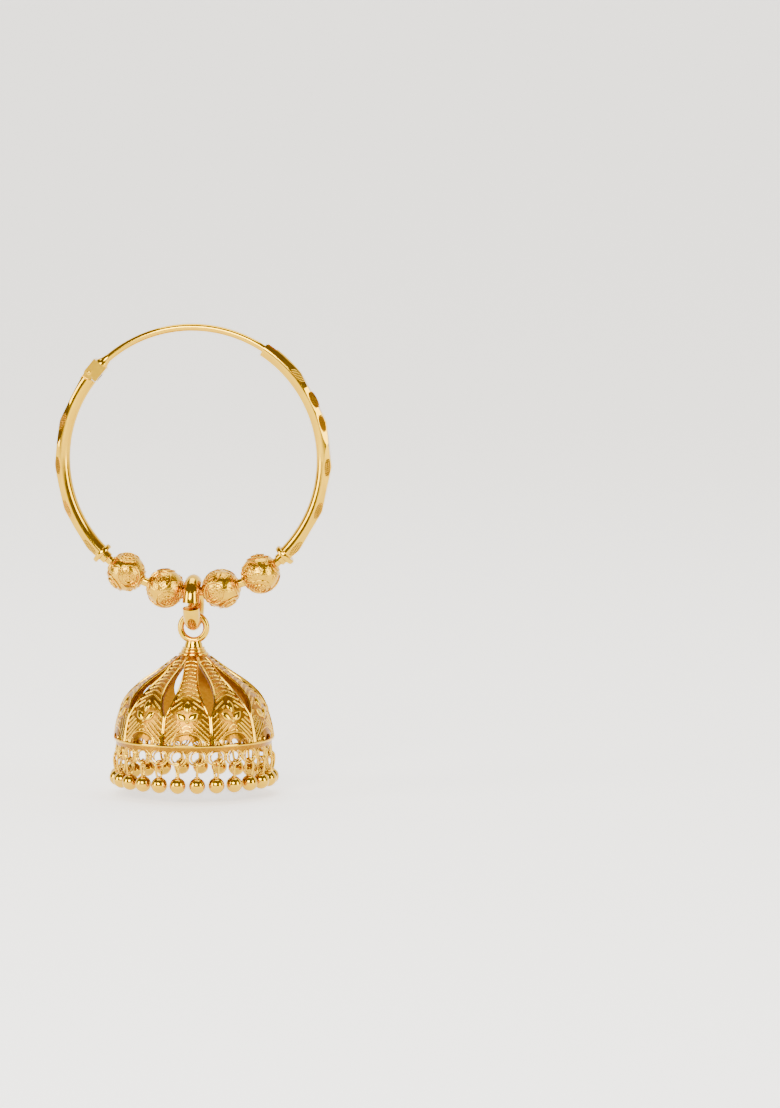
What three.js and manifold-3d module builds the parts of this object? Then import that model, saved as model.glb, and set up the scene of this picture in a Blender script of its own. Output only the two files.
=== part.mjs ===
// A jhumka earring: a hinged hoop with four beads, a link, and a pierced dome with a fringe of ball drops.
// Millimetres, +Z up, the front faces -Y. The origin is the middle of the ear wire at the top of the hoop.
// Angles on the hoop are degrees from +X towards +Z, seen from the front.
// Bearings round the dome are degrees from the front (-Y) towards +X.

import * as THREE from 'three';
import { mergeVertices } from 'three/addons/utils/BufferGeometryUtils.js';
import Module from 'manifold-3d';

const wasm = await Module();
wasm.setup();

// Hoop and arms
const hoopRadius = 15.85;        // centre line of the arms, the ear wire and the bead wire
const armDiameter = 1.86;
const armSides = 12;
const roundSides = 12;           // sides of the small round pieces and holes
const wireSides = 10;            // sides of the ear wire and the bead wire
const stepDegrees = 8;           // length of one straight step along the hoop
const lowestPeakAngle = 40.1;    // lowest corner of the faceted outline, below the hoop's middle
const facetPitch = 18.7;         // degrees from one corner to the next
const facetRows = 4;
const topFacetPitch = 22.5;      // the last facet, next to the catch and the hinge, is longer
const peakInset = 0.02;          // how far the corners stay inside the round arm
const sideFacetDepth = 0.07;     // the small facets in front of and behind each corner
const sideFacetLean = 52;

// Collars and bead wire
const collarAngle = 44.3;        // each side of the hoop's lowest point
const collarDiameter = 2.7;
const collarThickness = 0.5;
const collarSides = 14;
const sleeveDiameter = 1.5;
const sleeveLength = 0.8;
const sleeveOverlap = 0.06;      // how far the sleeve runs into its collar
const beadWireDiameter = 1.1;

// Beads
const beadDiameter = 4.7;
const beadAngles = [-30.8, -12.3, 12.3, 30.8];   // from the hoop's lowest point, left to right
const threadGap = 0.15;
const roundelDiameter = 1.6;
const roundelHeight = 0.13;
const roundelCount = 5;
const roundelLatitude = 28;
const roundelDepth = 1;          // how thick a roundel is, most of it inside the ball
const roundelSink = 0.12;        // how much lower its flat face is than a domed one
const roundelSides = 6;
const beadSegments = 12;
const boreHalfTurn = 12;         // degrees of the hoop that the curved bore covers on each side
const boreSides = 7;

// Catch
const catchAngle = 57;
const earWireDiameter = 0.88;
const wireInsertion = 1.2;
const catchGap = 0.14;

// Hinge
const hingeAngle = 140.3;
const pinOffset = 0.3;           // the pin sits outside the centre line
const pinDiameter = 0.56;
const pinGap = 0.12;
const pinProud = 0.06;
const blockLength = 1.75;        // from the pin to the end face
const blockThickness = 1.8;      // front to back
const blockInnerDrop = 0.3;      // the block's inner corner reaches this far below the pin
const blockChamfer = 0.22;
const tongueThickness = 0.5;
const tongueInset = 0.05;        // how far the tongue stays inside the block's outline
const tongueRoot = 0.4;          // how far it runs into the arm
const blockSides = 20;
const hingeGap = 0.18;
const shoulderDiameter = 1.5;
const shoulderLength = 1.25;
const shoulderRoot = 0.1;        // how far the shoulder starts inside the block

// Link
const linkWidth = 1.15;          // along the bead wire
const linkThickness = 0.58;
const linkDepth = 4.6;           // outer size, front to back
const linkHeight = 5.15;
const linkChamfer = 0.16;
const linkSegments = 18;
const linkHangGap = 0.12;        // between the bead wire and the inside of the link
const linkSeam = 0.7;            // the open seam at the front
const linkSeamDrop = 0.2;        // below the link's middle

// Eye and neck
const eyeWireDiameter = 0.8;
const eyeDiameter = 3.9;         // outer
const eyeSides = 6;
const eyeSegments = 16;
const eyeHangGap = 0.14;         // between the link and the inside of the eye
const neckDiameter = 2.2;
const neckCollarDiameter = 3.6;
const neckHeight = 1.4;          // from the eye's lowest point to the dome's top
const neckRoot = 0.4;            // how far the neck runs down into the dome
const neckTopInset = 0.1;        // how much narrower the neck's first step is at its top

// Dome
const domeHeight = 9.9;
const domeRadius = 9.5;
const domeWall = 0.55;
const panelCount = 10;
const panelBearing = 3.8;        // the middle of the front panel
const slotTop = 0.08;            // shares of the dome's height
const slotBottom = 0.67;
const slotWidth = 1.6;
const ribWidth = 0.45;           // the raised edge on both sides of each panel
const ribRaise = 0.22;
const rimHeight = 0.6;
const flowerLevel = 0.66;        // share of the dome's height where the three petals meet
const petalLength = 1.35;
const petalWidth = 0.95;
const petalWaist = 0.5;          // where it is widest, as a share of its length
const petalRaise = 0.16;
const petalLeans = [0, 68, -68];
const scallopLevel = 0.945;
const scallopWidth = 1.3;
const scallopHeight = 0.72;
const archShoulder = 0.7;        // where the arch starts to close, as a share of both sizes
const eyeletWidth = 0.55;
const eyeletSpacing = 1.85;

// Lace band and fringe
const laceRings = 25;
const laceBearing = 11.2;
const laceInset = 0.25;          // the band's middle lies this far inside the dome's foot
const laceHalfHeight = 1.04;
const laceHole = 1.35;
const laceHoleSides = 8;
const laceThickness = 0.3;
const laceSeat = 0.25;           // how far the band is let into the rim ring
const laceBridge = 0.6;          // wire left above a gap, as a share of the ring's wire
const laceGapWidth = 0.28;       // shares of half the distance between two rings
const laceGapHeight = 0.45;
const laceNotchWidth = 0.5;
const laceNotch = 0.7;           // how deep the edge is notched between two rings
const cutReach = 0.1;            // how far a cut runs past the edge
const dropWireDiameter = 0.32;
const dropLoopHalfWidth = 0.45;
const dropWireSides = 6;
const dropWireSteps = 5;
const loopTaper = 0.9;           // the loop's half width below its bend, as a share
const loopPinch = 0.35;          // and where it enters the ball
const loopRoot = 0.25;           // how far the wire runs into the ball
const ballDiameter = 1.95;
const ballSegments = 10;
const ballDrop = 2.47;           // from the lowest wire of the lace to the middle of the ball
const greatestTurn = 30;         // how far a loop is turned from straight ahead
const turnStep = 2.4;            // radians from one loop's turn to the next, so that all differ

// The dome's outline: shares of its height from the top, and of its radius
const domeSections = [
  { down: 0.00, out: 0.18 },
  { down: 0.08, out: 0.29 },
  { down: 0.20, out: 0.46 },
  { down: 0.33, out: 0.66 },
  { down: 0.45, out: 0.80 },
  { down: 0.56, out: 0.88 },
  { down: 0.67, out: 0.925 },
  { down: 0.84, out: 0.974 },
  { down: 1.00, out: 1.00 },
];

// The rim ring under the dome: shares of its height, and how far it stands proud of the wall
const rimSections = [
  { down: 0.35, proud: 0.17, inside: 0.12 },
  { down: 1.00, proud: 0.13, inside: 0.10 },
];

// The neck's outline: shares of its height from the top, and the radius as a share of the neck's collar
const neckSections = [
  { down: 0.00, out: 0.58 },
  { down: 0.30, out: 0.61 },
  { down: 0.34, out: 0.72 },
  { down: 0.50, out: 0.72 },
  { down: 0.54, out: 0.80 },
  { down: 0.68, out: 0.82 },
  { down: 0.74, out: 1.00 },
  { down: 0.88, out: 1.00 },
  { down: 1.00, out: 0.72 },
];

// Derived places
const armRadius = armDiameter / 2;
const degrees = THREE.MathUtils.degToRad;
const bottomAngle = -90;
const grid = 1e-4;
const rightCollarAngle = bottomAngle + collarAngle;
const leftCollarAngle = bottomAngle - collarAngle;
const linkDrop = linkHeight / 2 - linkThickness - linkHangGap - beadWireDiameter / 2;
const eyeHoleRadius = eyeDiameter / 2 - eyeWireDiameter;
const linkFloor = -linkDrop - linkHeight / 2 + linkThickness;
const swivelDrop = linkFloor - linkThickness / 2;
const eyeDrop = linkThickness / 2 + eyeHangGap - eyeHoleRadius;
const domeTop = eyeDrop - eyeDiameter / 2 - neckHeight;
const domeBottom = domeTop - domeHeight;
const laceLevel = domeBottom - rimHeight - laceHalfHeight + laceSeat;
const laceWire = laceHalfHeight - laceHole / 2;
const laceRadius = domeRadius - laceInset;
const laceFloor = laceLevel - laceHalfHeight + laceWire / 2;

// Shapes and solids

function hoopPoint(angle, radius = hoopRadius) {
  const a = degrees(angle);
  return new THREE.Vector3(radius * Math.cos(a), 0, radius * Math.sin(a) - hoopRadius);
}

class HoopArc extends THREE.Curve {
  constructor(from, to) {
    super();
    this.from = from;
    this.to = to;
  }
  getPoint(t) {
    return hoopPoint(this.from + (this.to - this.from) * t);
  }
}

function polygonShape(radius, sides) {
  const points = [];
  for (let i = 0; i < sides; i++) {
    const a = (2 * Math.PI * (i + 0.5)) / sides;
    points.push(new THREE.Vector2(radius * Math.cos(a), radius * Math.sin(a)));
  }
  return new THREE.Shape(points);
}

function tube(curve, radius, sides, steps) {
  const options = { steps, extrudePath: curve, bevelEnabled: false };
  return new THREE.ExtrudeGeometry(polygonShape(radius, sides), options);
}

function hoopTube(from, to, radius, sides) {
  const steps = Math.ceil(Math.abs(to - from) / stepDegrees);
  return tube(new HoopArc(from, to), radius, sides, steps);
}

// Puts a shape on the hoop: its x axis runs clockwise along the hoop, its z axis points outwards
function onHoop(geometry, angle, radius = hoopRadius) {
  const place = hoopPoint(angle, radius);
  geometry.rotateY(degrees(90 - angle));
  return geometry.translate(place.x, place.y, place.z);
}

function box(x, y, z) {
  return new THREE.BoxGeometry(x[1] - x[0], y[1] - y[0], z[1] - z[0])
    .translate((x[0] + x[1]) / 2, (y[0] + y[1]) / 2, (z[0] + z[1]) / 2);
}

function plate(points, from, to) {
  const shape = new THREE.Shape(points.map(([x, y]) => new THREE.Vector2(x, y)));
  const options = { depth: to - from, bevelEnabled: false };
  return new THREE.ExtrudeGeometry(shape, options).translate(0, 0, from);
}

function lathe(points, segments) {
  const profile = points.map(([r, z]) => new THREE.Vector2(r, z));
  return new THREE.LatheGeometry(profile, segments).rotateX(Math.PI / 2);
}

function solid(geometry) {
  const bare = geometry.clone();
  bare.deleteAttribute('normal');
  bare.deleteAttribute('uv');
  const merged = mergeVertices(bare);
  const corners = merged.index.array;
  const triVerts = [];
  for (let i = 0; i < corners.length; i += 3) {
    const [a, b, c] = [corners[i], corners[i + 1], corners[i + 2]];
    if (a !== b && b !== c && c !== a) triVerts.push(a, b, c);
  }
  return new wasm.Manifold(new wasm.Mesh({
    numProp: 3,
    vertProperties: new Float32Array(merged.attributes.position.array),
    triVerts: new Uint32Array(triVerts),
  }));
}

function joined(solids) {
  return solids.reduce((whole, piece) => whole.add(piece));
}

function cutAway(whole, cutters) {
  return cutters.reduce((rest, cutter) => rest.subtract(cutter), whole);
}

function geometryOf(manifold) {
  const mesh = manifold.getMesh();
  const geometry = new THREE.BufferGeometry();
  const position = new THREE.BufferAttribute(new Float32Array(mesh.vertProperties), 3);
  geometry.setAttribute('position', position);
  geometry.setIndex(new THREE.BufferAttribute(new Uint32Array(mesh.triVerts), 1));
  geometry.computeVertexNormals();
  return geometry;
}

// The arms: round tubes whose outer side is cut to flats that meet in corners

function facetCutter(angle, lean, distance) {
  const reach = 2 * armDiameter;
  const block = box([-reach, reach], [-reach, reach], [distance, distance + reach]);
  return solid(onHoop(block.rotateX(degrees(lean)), angle));
}

function armFacets(mirror) {
  const cutters = [];
  const toSide = (angle) => (mirror ? 180 - angle : angle);
  const peakRadius = hoopRadius + armRadius - peakInset;
  const outerFlat = (middle, pitch) => {
    const distance = peakRadius * Math.cos(degrees(pitch / 2)) - hoopRadius;
    cutters.push(facetCutter(toSide(middle), 0, distance));
  };
  for (let row = 0; row < facetRows; row++) {
    const peak = row * facetPitch - lowestPeakAngle;
    outerFlat(peak - facetPitch / 2, facetPitch);
    for (const lean of [sideFacetLean, -sideFacetLean]) {
      cutters.push(facetCutter(toSide(peak), lean, armRadius - sideFacetDepth));
    }
  }
  const topPeak = (facetRows - 1) * facetPitch - lowestPeakAngle;
  outerFlat(topPeak + topFacetPitch / 2, topFacetPitch);
  return cutters;
}

function collar(angle, side) {
  const disc = new THREE.CylinderGeometry(
    collarDiameter / 2, collarDiameter / 2, collarThickness, collarSides);
  const sleeve = new THREE.CylinderGeometry(
    sleeveDiameter / 2, sleeveDiameter / 2, sleeveLength, roundSides);
  const apart = (collarThickness + sleeveLength) / 2 - sleeveOverlap;
  disc.rotateZ(Math.PI / 2);
  sleeve.rotateZ(Math.PI / 2).translate(side * apart, 0, 0);
  return [solid(onHoop(disc, angle)), solid(onHoop(sleeve, angle))];
}

function catchCutters() {
  const bore = earWireDiameter / 2 + catchGap;
  const depth = wireInsertion + catchGap;
  const hole = new THREE.CylinderGeometry(bore, bore, 2 * depth, roundSides).rotateZ(Math.PI / 2);
  const notch = box([-depth, depth], [-bore, bore], [0, armDiameter]);
  return [hole, notch].map((shape) => solid(onHoop(shape, catchAngle)));
}

function hingePinHole(radius, length) {
  const hole = new THREE.CylinderGeometry(radius, radius, length, roundSides);
  return solid(onHoop(hole, hingeAngle, hoopRadius + pinOffset));
}

// The hinge block's outline in the plane of the hoop, from the pin: x towards the wire, y outwards
const blockOuter = armRadius - pinOffset;
const blockInner = -armRadius - pinOffset;

function leftArmEnd(arm) {
  const pinRadius = hoopRadius + pinOffset;
  const round = blockOuter + hingeGap;
  const end = -blockInnerDrop - hingeGap;
  const reach = 3 * armDiameter;
  const cutters = [
    box([end, reach], [-reach, reach], [-reach, reach]),
    new THREE.CylinderGeometry(round, round, reach, blockSides),
    box([-round, 0], [-reach, reach], [0, reach]),
  ];
  const tongueRadius = blockOuter - tongueInset;
  const halfTongue = tongueThickness / 2;
  const tongue = [
    new THREE.CylinderGeometry(tongueRadius, tongueRadius, tongueThickness, blockSides),
    box([-round - tongueRoot, 0], [-halfTongue, halfTongue],
      [-tongueRadius, tongueRadius - tongueInset]),
  ];
  const atPin = (shape) => solid(onHoop(shape, hingeAngle, pinRadius));
  const cut = cutAway(arm, cutters.map(atPin));
  return joined([cut, ...tongue.map(atPin)])
    .subtract(hingePinHole(pinDiameter / 2 + pinGap, 2 * blockThickness));
}

function makeHoop() {
  const right = solid(hoopTube(rightCollarAngle, catchAngle, armRadius, armSides));
  const left = solid(hoopTube(leftCollarAngle + 360, hingeAngle, armRadius, armSides));
  const rightArm = cutAway(right, [...armFacets(false), ...catchCutters()]);
  const leftArm = leftArmEnd(cutAway(left, armFacets(true)));
  const beadWire = solid(hoopTube(leftCollarAngle, rightCollarAngle, beadWireDiameter / 2, wireSides));
  return joined([
    rightArm, leftArm, beadWire, ...collar(rightCollarAngle, 1), ...collar(leftCollarAngle, -1),
  ]);
}

// The ear wire, closed: a forked block on the pin, a tapered shoulder and the wire itself

function makeEarWire() {
  const pinRadius = hoopRadius + pinOffset;
  const atPin = (shape) => solid(onHoop(shape, hingeAngle, pinRadius));
  const half = blockThickness / 2;
  const chamfer = blockChamfer;
  const sideView = plate([
    [-blockInnerDrop, blockInner], [blockLength, blockInner],
    [blockLength, blockOuter], [0, blockOuter], [-blockInnerDrop, -blockOuter],
  ], -half, half).rotateX(Math.PI / 2);
  const height = [blockInner, blockOuter];
  const endView = plate([
    [height[0], -half + chamfer], [height[0] + chamfer, -half],
    [height[1] - chamfer, -half], [height[1], -half + chamfer],
    [height[1], half - chamfer], [height[1] - chamfer, half],
    [height[0] + chamfer, half], [height[0], half - chamfer],
  ], -blockLength, blockLength)
    .applyMatrix4(new THREE.Matrix4().makeBasis(
      new THREE.Vector3(0, 0, 1), new THREE.Vector3(0, 1, 0), new THREE.Vector3(-1, 0, 0)));
  const round = new THREE.CylinderGeometry(blockOuter, blockOuter, blockThickness, blockSides);
  const block = joined([atPin(sideView), atPin(round)]).intersect(atPin(endView));
  const slotHalf = tongueThickness / 2 + hingeGap;
  const reach = 3 * armDiameter;
  const slot = box([-reach, blockOuter + hingeGap], [-slotHalf, slotHalf], [-reach, reach]);
  const fork = block.subtract(atPin(slot))
    .subtract(hingePinHole(pinDiameter / 2 + pinGap, 2 * blockThickness));

  const degreesPerMm = THREE.MathUtils.radToDeg(1 / hoopRadius);
  const blockEnd = hingeAngle - blockLength * degreesPerMm;
  const wireEnd = catchAngle - wireInsertion * degreesPerMm;
  const cone = new THREE.CylinderGeometry(
    shoulderDiameter / 2, earWireDiameter / 2, shoulderLength, roundSides);
  cone.rotateZ(Math.PI / 2).translate(shoulderLength / 2 - shoulderRoot, 0, 0);
  const wire = solid(hoopTube(blockEnd, wireEnd, earWireDiameter / 2, wireSides));
  return joined([fork, solid(onHoop(cone, blockEnd)), wire]);
}

function makeHingePin() {
  const length = blockThickness + 2 * pinProud;
  return solid(new THREE.CylinderGeometry(pinDiameter / 2, pinDiameter / 2, length, roundSides));
}

// A bead, with its thread along x: a ball with raised roundels and a curved bore

function makeBead() {
  const radius = beadDiameter / 2;
  const ball = new THREE.SphereGeometry(radius, beadSegments, beadSegments / 2).rotateZ(Math.PI / 2);
  const roundels = [];
  for (let i = 0; i < roundelCount; i++) {
    const disc = new THREE.CylinderGeometry(
      roundelDiameter / 2, roundelDiameter / 2, roundelDepth, roundelSides);
    disc.translate(0, radius + roundelHeight - roundelSink - roundelDepth / 2, 0);
    disc.rotateZ(degrees(i % 2 ? roundelLatitude : -roundelLatitude));
    disc.rotateX(degrees((360 * i) / roundelCount));
    roundels.push(solid(disc));
  }
  const boreArc = hoopTube(
    bottomAngle - boreHalfTurn, bottomAngle + boreHalfTurn, beadWireDiameter / 2 + threadGap, boreSides);
  const bore = solid(boreArc.translate(0, 0, 2 * hoopRadius));
  return joined([solid(ball), ...roundels]).subtract(bore);
}

// The link: a wide band bent to an oval, with an open seam at the front

function makeLink() {
  const seamHalf = Math.asin(linkSeam / linkHeight);
  const seamMiddle = Math.PI + Math.asin((2 * linkSeamDrop) / linkHeight);
  const turn = 2 * (Math.PI - seamHalf);
  const inset = linkChamfer;
  const edge = (depth, height) => {
    const points = [];
    for (let i = 0; i <= linkSegments; i++) {
      const a = seamMiddle + seamHalf + (turn * i) / linkSegments;
      points.push([depth * Math.cos(a), height * Math.sin(a)]);
    }
    return points;
  };
  const outer = edge(linkDepth / 2 - inset, linkHeight / 2 - inset);
  const wall = linkThickness - inset;
  const inner = edge(linkDepth / 2 - wall, linkHeight / 2 - wall).reverse();
  const shape = new THREE.Shape([...outer, ...inner].map(([y, z]) => new THREE.Vector2(y, z)));
  const band = new THREE.ExtrudeGeometry(shape, {
    depth: linkWidth - 2 * inset, steps: 1, bevelEnabled: true,
    bevelSize: inset, bevelThickness: inset, bevelSegments: 1,
  });
  band.translate(0, 0, inset - linkWidth / 2);
  // the outline's axes become +Y and +Z, and the band's width runs along X
  band.applyMatrix4(new THREE.Matrix4().makeBasis(
    new THREE.Vector3(0, 1, 0), new THREE.Vector3(0, 0, 1), new THREE.Vector3(1, 0, 0)));
  return solid(band.translate(0, 0, -linkDrop));
}

// The dome hangs from its eye; its own origin is the middle of the link's lowest band

function domeRadiusAt(share) {
  const next = domeSections.findIndex((section) => section.down >= share - 1e-9);
  if (next <= 0) return domeSections[0].out * domeRadius;
  const [a, b] = [domeSections[next - 1], domeSections[next]];
  const t = (share - a.down) / (b.down - a.down);
  return (a.out + (b.out - a.out) * t) * domeRadius;
}

function domeLevel(share) {
  return domeTop - share * domeHeight;
}

// The wall's angle from the vertical
function domeSlope(share) {
  const reach = 0.05;
  const [above, below] = [Math.max(share - reach, 0), Math.min(share + reach, 1)];
  const run = domeRadiusAt(below) - domeRadiusAt(above);
  return Math.atan2(run, (below - above) * domeHeight);
}

// Puts a shape on the dome's front: x to the right, y up along the wall, z out of it
function onDome(geometry, share) {
  geometry.rotateX(Math.PI / 2 - domeSlope(share));
  return geometry.translate(0, -domeRadiusAt(share), domeLevel(share));
}

function leafWidth(share) {
  const t = (share - slotTop) / (slotBottom - slotTop);
  if (t <= 0 || t >= 1) return 0;
  return slotWidth * Math.sin(Math.PI * t);
}

// The levels that the panels are lofted through, from the dome's top down to the foot of its rim ring
function panelLevels() {
  const wall = domeSections.map(({ down }) => ({
    z: domeLevel(down), radius: domeRadiusAt(down), slope: domeSlope(down),
    slot: leafWidth(down), outside: 0, raise: ribRaise, inside: -domeWall,
  }));
  const rim = rimSections.map(({ down, proud, inside }) => ({
    z: domeBottom - down * rimHeight, radius: domeRadius, slope: 0,
    slot: 0, outside: proud, raise: proud, inside: -domeWall - inside,
  }));
  return [...wall, ...rim];
}

// A panel: its cross section has a raised edge on both sides, and narrows beside the slots.
// Its corners are rounded to a fine grid, so that two panels share them exactly where they meet.
function panelStrip(middle) {
  const template = 2 * domeRadius;
  const levels = panelLevels();
  const [inside, outside, raise] = [-1, 0, 1];
  const crossSection = new THREE.Shape([
    [0, inside], [template, inside], [template, raise], [template - ribWidth, outside],
    [0, outside], [ribWidth - template, outside], [-template, raise], [-template, inside],
  ].map(([x, y]) => new THREE.Vector2(x, y)));
  const last = levels.length - 1;
  const options = { depth: last, steps: last, bevelEnabled: false };
  const strip = new THREE.ExtrudeGeometry(crossSection, options);
  const place = strip.attributes.position;
  for (let i = 0; i < place.count; i++) {
    const level = levels[Math.round(place.getZ(i))];
    const kind = Math.round(place.getY(i));
    const height = kind === inside ? level.inside : kind === raise ? level.raise : level.outside;
    const across = place.getX(i);
    const half = Math.PI / panelCount - level.slot / 2 / level.radius;
    const fromEdge = (template - Math.abs(across)) / level.radius;
    const aside = across === 0 ? 0 : Math.sign(across) * (half - fromEdge);
    const bearing = degrees(middle) + aside;
    const out = level.radius + height * Math.cos(level.slope);
    const z = level.z + height * Math.sin(level.slope);
    const corner = [out * Math.sin(bearing), -out * Math.cos(bearing), z];
    place.setXYZ(i, ...corner.map((size) => Math.round(size / grid) * grid));
  }
  return solid(strip);
}

function makePanel(bearing) {
  return cutAway(joined([panelStrip(bearing), ...flower(bearing)]), scallops(bearing));
}

// A prism through the wall: its outline is seen from outside, x to the right and y up
function radialCutter(points, bearing) {
  const prism = plate(points, neckDiameter, domeRadius + domeWall);
  return solid(prism.rotateX(Math.PI / 2).rotateZ(degrees(bearing)));
}

function flower(bearing) {
  const half = petalWidth / 2;
  return petalLeans.map((lean) => {
    const petal = plate([
      [0, 0], [half, petalLength * petalWaist], [0, petalLength], [-half, petalLength * petalWaist],
    ], -domeWall / 2, petalRaise);
    return solid(onDome(petal.rotateZ(degrees(lean)), flowerLevel).rotateZ(degrees(bearing)));
  });
}

function scallops(bearing) {
  const bottom = domeLevel(scallopLevel) - scallopHeight / 2;
  const half = scallopWidth / 2;
  const shoulder = bottom + scallopHeight * archShoulder;
  const arch = [
    [half, bottom], [half * archShoulder, shoulder], [0, bottom + scallopHeight],
    [-half * archShoulder, shoulder], [-half, bottom],
  ];
  const eyelet = (x) => [
    [x - eyeletWidth / 2, bottom], [x + eyeletWidth / 2, bottom], [x, bottom + eyeletWidth],
  ];
  return [arch, eyelet(eyeletSpacing), eyelet(-eyeletSpacing)]
    .map((outline) => radialCutter(outline, bearing));
}

// The lace band: rings side by side, with small gaps above and notches below where two rings meet
function makeLace() {
  const step = 360 / laceRings;
  const corner = 1 / Math.cos(degrees(step / 2));
  const outer = (laceRadius + laceThickness / 2) * corner;
  const inner = (laceRadius - laceThickness / 2) * corner;
  const [low, high] = [laceLevel - laceHalfHeight, laceLevel + laceHalfHeight];
  const band = lathe([
    [inner, high], [inner, low], [outer, low], [outer, high], [inner, high],
  ], laceRings).rotateZ(degrees(laceBearing + step / 2));
  const half = laceRadius * Math.tan(degrees(step / 2));
  const [gapHalf, notchHalf] = [half * laceGapWidth, half * laceNotchWidth];
  const gapTop = high - laceWire * laceBridge;
  const octagon = polygonShape(laceHole / 2, laceHoleSides).getPoints();
  const cutters = [];
  for (let i = 0; i < laceRings; i++) {
    const bearing = laceBearing + i * step;
    const hole = octagon.map(({ x, y }) => [x, y + laceLevel]);
    const gap = [[-gapHalf, gapTop], [0, gapTop - half * laceGapHeight], [gapHalf, gapTop]];
    const notch = [[-notchHalf, low - cutReach], [notchHalf, low - cutReach], [0, low + laceNotch]];
    cutters.push(radialCutter(hole, bearing));
    cutters.push(radialCutter(gap, bearing + step / 2), radialCutter(notch, bearing + step / 2));
  }
  return cutAway(solid(band), cutters);
}

function makeNeck() {
  const top = domeTop + neckHeight + eyeWireDiameter / 2;
  const height = top - domeTop + neckRoot;
  const outline = neckSections.map(({ down, out }) => [
    (out * neckCollarDiameter) / 2, top - down * height,
  ]);
  const bottom = outline[outline.length - 1][1];
  outline[0][0] = neckDiameter / 2 - neckTopInset;
  return solid(lathe([[0, bottom], ...outline.reverse(), [0, top]], roundSides));
}

function makeDome() {
  const eye = new THREE.TorusGeometry(
    (eyeDiameter - eyeWireDiameter) / 2, eyeWireDiameter / 2, eyeSides, eyeSegments);
  eye.rotateX(Math.PI / 2).translate(0, 0, eyeDrop);
  const panels = [];
  for (let i = 0; i < panelCount; i++) panels.push(makePanel(panelBearing + (360 * i) / panelCount));
  const whole = joined([...panels, makeNeck(), solid(eye), makeLace()]);
  // the seams of the panels can leave empty slivers inside the wall, so only the dome itself is kept
  return whole.decompose().reduce((a, b) => (a.volume() > b.volume() ? a : b));
}

// A drop, hung at its own origin: a hairpin of wire round the lowest wire of a lace ring, and a ball

function makeDrop() {
  const w = dropLoopHalfWidth;
  const bend = w * Math.SQRT1_2;
  const ballTop = ballDiameter / 2 - ballDrop;
  const right = [
    [0, w], [bend, bend], [w, 0], [w * loopTaper, (ballTop - w) / 2],
    [w * loopPinch, ballTop - loopRoot],
  ];
  const left = right.slice(1).map(([x, z]) => [-x, z]).reverse();
  const points = [...left, ...right].map(([x, z]) => new THREE.Vector3(0, x, z));
  const path = new THREE.CatmullRomCurve3(points);
  const hairpin = tube(path, dropWireDiameter / 2, dropWireSteps, dropWireSides);
  const ball = new THREE.SphereGeometry(ballDiameter / 2, ballSegments, ballSegments / 2);
  ball.rotateX(Math.PI / 2);
  ball.translate(0, 0, -ballDrop);
  return joined([solid(hairpin), solid(ball)]);
}

// Materials

const polishedGold = new THREE.MeshStandardMaterial({ color: 0xe9b54a, roughness: 0.18, metalness: 1 });
const satinGold = new THREE.MeshStandardMaterial({ color: 0xe0a340, roughness: 0.42, metalness: 1 });
const deepGold = new THREE.MeshStandardMaterial({ color: 0xd18f2c, roughness: 0.36, metalness: 1 });

function piece(name, manifold, material) {
  const mesh = new THREE.Mesh(geometryOf(manifold), material);
  mesh.name = name;
  return mesh;
}

// The assembly: the link hangs from the bead wire, the dome from the link, the drops from the dome

const earring = new THREE.Group();
earring.add(piece('hoop', makeHoop(), polishedGold));
earring.add(piece('ear_wire', makeEarWire(), polishedGold));

const pin = piece('hinge_pin', makeHingePin(), polishedGold);
pin.position.copy(hoopPoint(hingeAngle, hoopRadius + pinOffset));
earring.add(pin);

const bead = makeBead();
beadAngles.forEach((aside, i) => {
  const mesh = piece(`bead_${i + 1}`, bead, satinGold);
  mesh.position.copy(hoopPoint(bottomAngle + aside));
  mesh.rotation.y = degrees(-aside);
  earring.add(mesh);
});

const linkGroup = new THREE.Group();
linkGroup.position.copy(hoopPoint(bottomAngle));
linkGroup.add(piece('link', makeLink(), polishedGold));
earring.add(linkGroup);

const dropGroup = new THREE.Group();
dropGroup.position.set(0, 0, swivelDrop);
dropGroup.add(piece('dome', makeDome(), deepGold));
linkGroup.add(dropGroup);

const drop = makeDrop();
for (let i = 0; i < laceRings; i++) {
  const mesh = piece(`drop_${String(i + 1).padStart(2, '0')}`, drop, polishedGold);
  const bearing = degrees(laceBearing + (360 * i) / laceRings);
  mesh.position.set(laceRadius * Math.sin(bearing), -laceRadius * Math.cos(bearing), laceFloor);
  mesh.rotation.z = bearing + degrees(greatestTurn * Math.sin(turnStep * i));
  dropGroup.add(mesh);
}

export default earring;
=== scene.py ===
import bpy
import math
from mathutils import Matrix, Vector


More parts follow.
